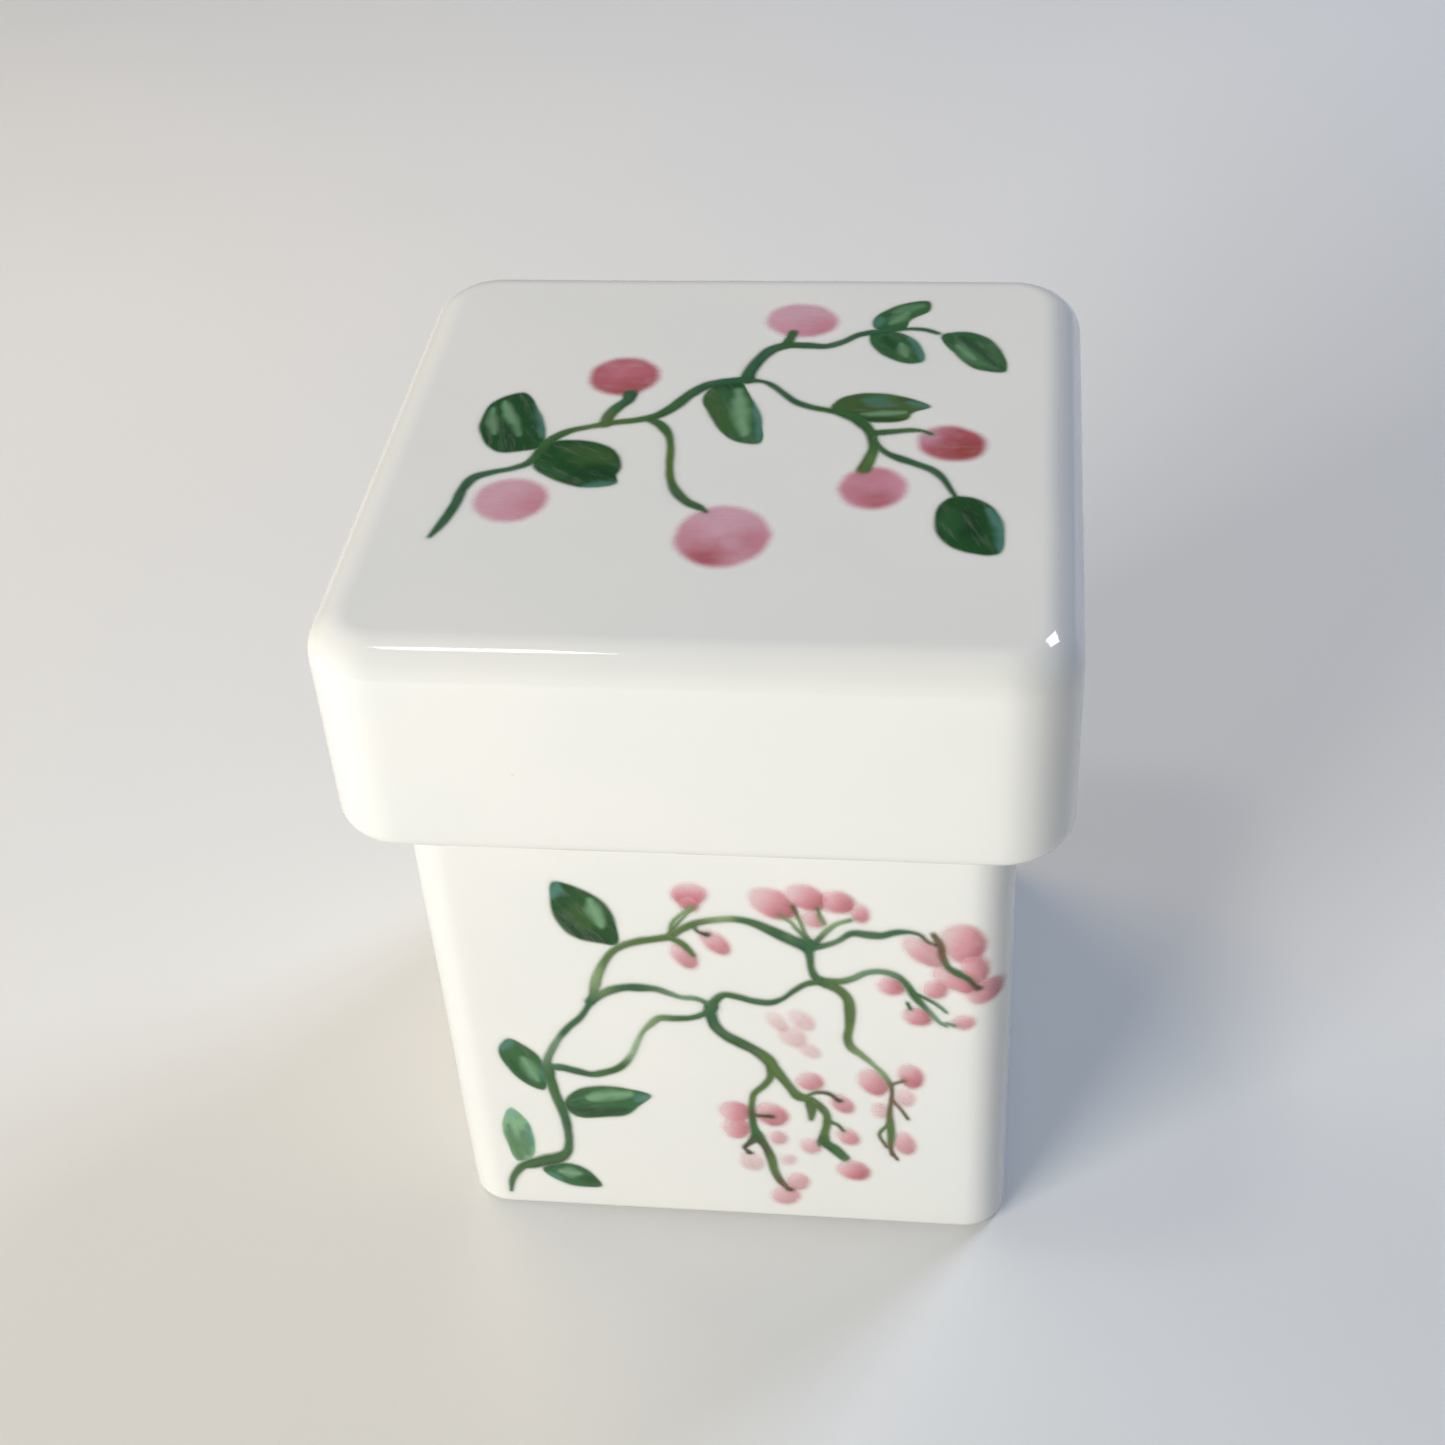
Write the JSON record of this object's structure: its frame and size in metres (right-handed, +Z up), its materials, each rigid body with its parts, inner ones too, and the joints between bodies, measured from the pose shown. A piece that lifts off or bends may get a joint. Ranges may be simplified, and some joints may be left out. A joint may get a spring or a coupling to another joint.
{
  "type": "powder jar",
  "caption": "Small square white porcelain powder jar with a deep overhanging lift-off lid, hand painted with green sprays, berries and blossom.",
  "frame": {"origin": "middle of the foot, on the surface that the jar stands on", "axes": "+Z up, the painted front faces -Y, +X to the right seen from the front"},
  "size_m": [0.068, 0.068, 0.0801],
  "materials": {
    "porcelain": "white porcelain under a clear glossy glaze, soft reflections",
    "stem_enamel": "fused china paint, blue green to olive brush strokes, glossy",
    "leaf_enamel": "fused china paint, dark green with pale streaks, glossy",
    "berry_enamel": "fused china paint, mottled rose, glossy",
    "blossom_enamel": "fused china paint, thin soft-edged pink dabs, glossy"
  },
  "bodies": {
    "jar": {"front_blossom_1": "blossom_enamel", "front_blossom_2": "blossom_enamel", "front_blossom_3": "blossom_enamel", "front_blossom_4": "blossom_enamel", "front_blossom_5": "blossom_enamel", "front_blossom_6": "blossom_enamel", "front_blossom_7": "blossom_enamel", "front_blossom_8": "blossom_enamel", "front_blossom_9": "blossom_enamel", "front_blossom_10": "blossom_enamel", "front_blossom_11": "blossom_enamel", "front_blossom_12": "blossom_enamel", "front_blossom_13": "blossom_enamel", "front_blossom_14": "blossom_enamel", "front_blossom_15": "blossom_enamel", "front_blossom_16": "blossom_enamel", "front_blossom_17": "blossom_enamel", "front_blossom_18": "blossom_enamel", "front_blossom_19": "blossom_enamel", "front_blossom_20": "blossom_enamel", "front_blossom_21": "blossom_enamel", "front_blossom_22": "blossom_enamel", "front_blossom_23": "blossom_enamel", "front_blossom_24": "blossom_enamel", "front_blossom_25": "blossom_enamel", "front_blossom_26": "blossom_enamel", "front_blossom_27": "blossom_enamel", "front_blossom_28": "blossom_enamel", "front_blossom_29": "blossom_enamel", "front_blossom_30": "blossom_enamel", "front_branch": "stem_enamel", "front_leaf_1": "leaf_enamel", "front_leaf_2": "leaf_enamel", "front_leaf_3": "leaf_enamel", "front_leaf_4": "leaf_enamel", "front_leaf_5": "leaf_enamel", "jar_body": "porcelain"},
    "lid": {"lid": "porcelain", "lid_berry_1": "berry_enamel", "lid_berry_2": "berry_enamel", "lid_berry_3": "berry_enamel", "lid_berry_4": "berry_enamel", "lid_berry_5": "berry_enamel", "lid_berry_6": "berry_enamel", "lid_branch": "stem_enamel", "lid_leaf_1": "leaf_enamel", "lid_leaf_2": "leaf_enamel", "lid_leaf_3": "leaf_enamel", "lid_leaf_4": "leaf_enamel", "lid_leaf_5": "leaf_enamel", "lid_leaf_6": "leaf_enamel", "lid_leaf_7": "leaf_enamel", "lid_leaf_8": "leaf_enamel"}
  },
  "joints": [
    {"name": "lid_lift", "type": "slide", "parent": "jar", "child": "lid", "axis": [0, 0, 1], "range_m": [0, 0.045]}
  ]
}
